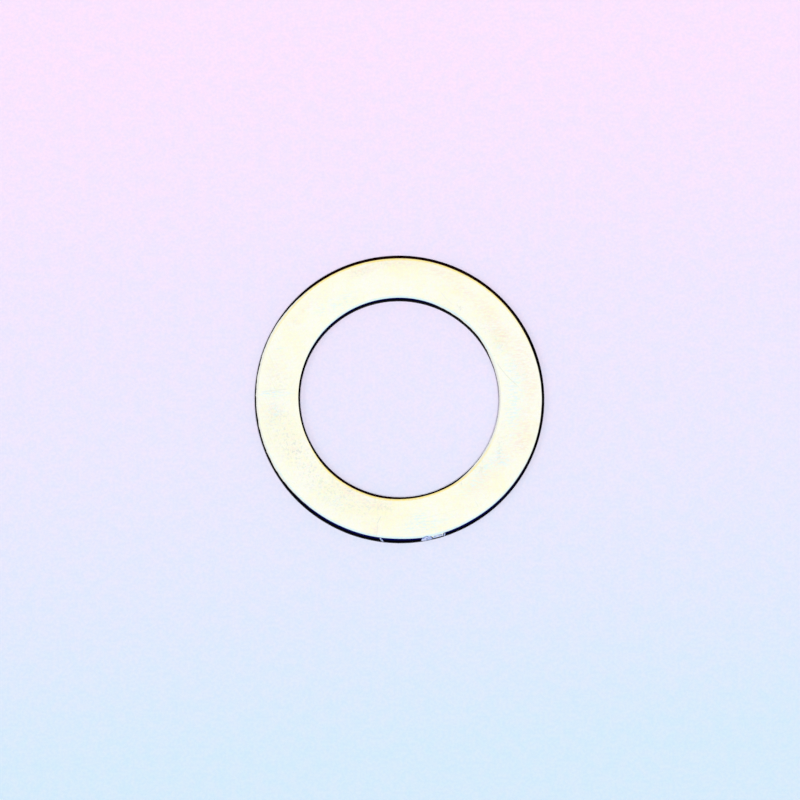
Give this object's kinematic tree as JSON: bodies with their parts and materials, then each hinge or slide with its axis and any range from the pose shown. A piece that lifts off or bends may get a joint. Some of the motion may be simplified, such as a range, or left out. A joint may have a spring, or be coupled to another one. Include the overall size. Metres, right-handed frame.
{
  "type": "shim ring",
  "caption": "Flat round steel spacing ring with a wide central hole; its top edges are rolled and its cut walls are dark, with small knocks on the rim.",
  "frame": {"origin": "centre of the bottom face, which is the burr side", "axes": "+Z along the ring's axis, towards the rolled top face; +X to the right and +Y away from a viewer in front"},
  "size_m": [0.032, 0.032, 0.0013],
  "materials": {
    "strip_steel": "bright cold-rolled strip with a pale cream cast, light stains and scratches, and dark sheared edges"
  },
  "bodies": {
    "root": {"shim_ring": "strip_steel"}
  },
  "joints": []
}
